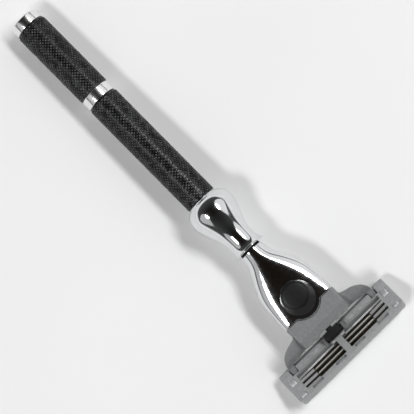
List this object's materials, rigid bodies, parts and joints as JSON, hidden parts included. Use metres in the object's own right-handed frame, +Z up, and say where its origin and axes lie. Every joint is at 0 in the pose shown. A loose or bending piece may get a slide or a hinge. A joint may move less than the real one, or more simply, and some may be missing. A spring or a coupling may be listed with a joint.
{
  "type": "cartridge razor",
  "caption": "Manual shaving razor with a knurled straight handle, bulb ferrule, chrome head with release button, and a pivoting multi-blade cartridge on a yoke.",
  "frame": {"origin": "middle of the razor's box, on the surface it lies on, blades down and button up", "axes": "+X runs from the tail of the handle to the cartridge, which the handle's own axis climbs by about two degrees; +Y runs along the blades, to the left when looking from the tail to the head; +Z is up, to the button's side"},
  "size_m": [0.1384, 0.0414, 0.0154],
  "materials": {
    "polished_aluminium": "polished, fine turned lines",
    "knurled_black": "black coat over a diamond knurl, satin",
    "chrome": "mirror chrome plate",
    "rod_steel": "plain turned steel",
    "spring_steel": "drawn wire",
    "gasket_rubber": "matte black rubber",
    "black_plastic": "black moulded plastic",
    "button_plastic": "charcoal soft-touch plastic",
    "yoke_plastic": "mid grey moulded plastic, satin",
    "housing_plastic": "light grey moulded plastic, satin",
    "support_steel": "bent strip steel, slightly bronzed by coating",
    "blade_steel": "ground steel edge",
    "clip_aluminium": "rolled and folded strip",
    "strip_polymer": "waxy pale green strip",
    "fin_rubber": "matte dark grey rubber"
  },
  "bodies": {
    "handle": {"end_cap": "polished_aluminium", "rear_grip": "knurled_black", "middle_ring": "polished_aluminium", "front_grip": "knurled_black", "tie_rod": "rod_steel", "ferrule": "chrome", "neck_gasket": "gasket_rubber", "head_shell": "chrome", "connector_nose": "black_plastic", "nose_screw": "rod_steel", "button_spring_left": "spring_steel", "button_spring_right": "spring_steel", "plunger_spring": "spring_steel"},
    "ejector": {"release_button": "button_plastic", "ejector_fork": "black_plastic"},
    "plunger": {"plunger": "black_plastic"},
    "yoke": {"yoke": "yoke_plastic"},
    "cartridge": {"cartridge_housing": "housing_plastic", "end_clip_left": "clip_aluminium", "end_clip_right": "clip_aluminium", "lubricating_strip": "strip_polymer", "guard_fins": "fin_rubber"},
    "blade_unit_1": {"blade_support_1": "support_steel", "blade_1": "blade_steel"},
    "blade_unit_2": {"blade_support_2": "support_steel", "blade_2": "blade_steel"},
    "blade_unit_3": {"blade_support_3": "support_steel", "blade_3": "blade_steel"}
  },
  "joints": [
    {"name": "button_slide", "type": "slide", "parent": "handle", "child": "ejector", "axis": [0.9993, 0, 0.0374], "range_m": [0, 0.0025], "stiffness_N_per_m": 400, "springref_m": -0.001, "deforming": ["button_spring_left", "button_spring_right"]},
    {"name": "yoke_release", "type": "slide", "parent": "handle", "child": "yoke", "axis": [0.9993, 0, 0.0374], "range_m": [0, 0.0025]},
    {"name": "cartridge_pivot", "type": "hinge", "parent": "yoke", "child": "cartridge", "pos_m": [0.06006, 0, 0.00284], "axis": [0, -1, 0], "range_deg": [0, 40], "stiffness_Nm_per_rad": 0.004, "springref_deg": -20.05},
    {"name": "plunger_slide", "type": "slide", "parent": "handle", "child": "plunger", "axis": [-0.9993, 0, -0.0374], "range_m": [0, 0.0017], "deforming": ["plunger_spring"]},
    {"name": "blade_float_1", "type": "slide", "parent": "cartridge", "child": "blade_unit_1", "axis": [-0.377, 0, 0.9262], "range_m": [0, 0.00035], "stiffness_N_per_m": 1000, "springref_m": -0.0003},
    {"name": "blade_float_2", "type": "slide", "parent": "cartridge", "child": "blade_unit_2", "axis": [-0.377, 0, 0.9262], "range_m": [0, 0.00035], "stiffness_N_per_m": 1000, "springref_m": -0.0003},
    {"name": "blade_float_3", "type": "slide", "parent": "cartridge", "child": "blade_unit_3", "axis": [-0.377, 0, 0.9262], "range_m": [0, 0.00035], "stiffness_N_per_m": 1000, "springref_m": -0.0003}
  ],
  "couplings": [
    {"joint": "yoke_release", "follows": "button_slide", "ratio": 1},
    {"joint": "plunger_slide", "follows": "cartridge_pivot", "m_per_rad": 0.002412}
  ]
}
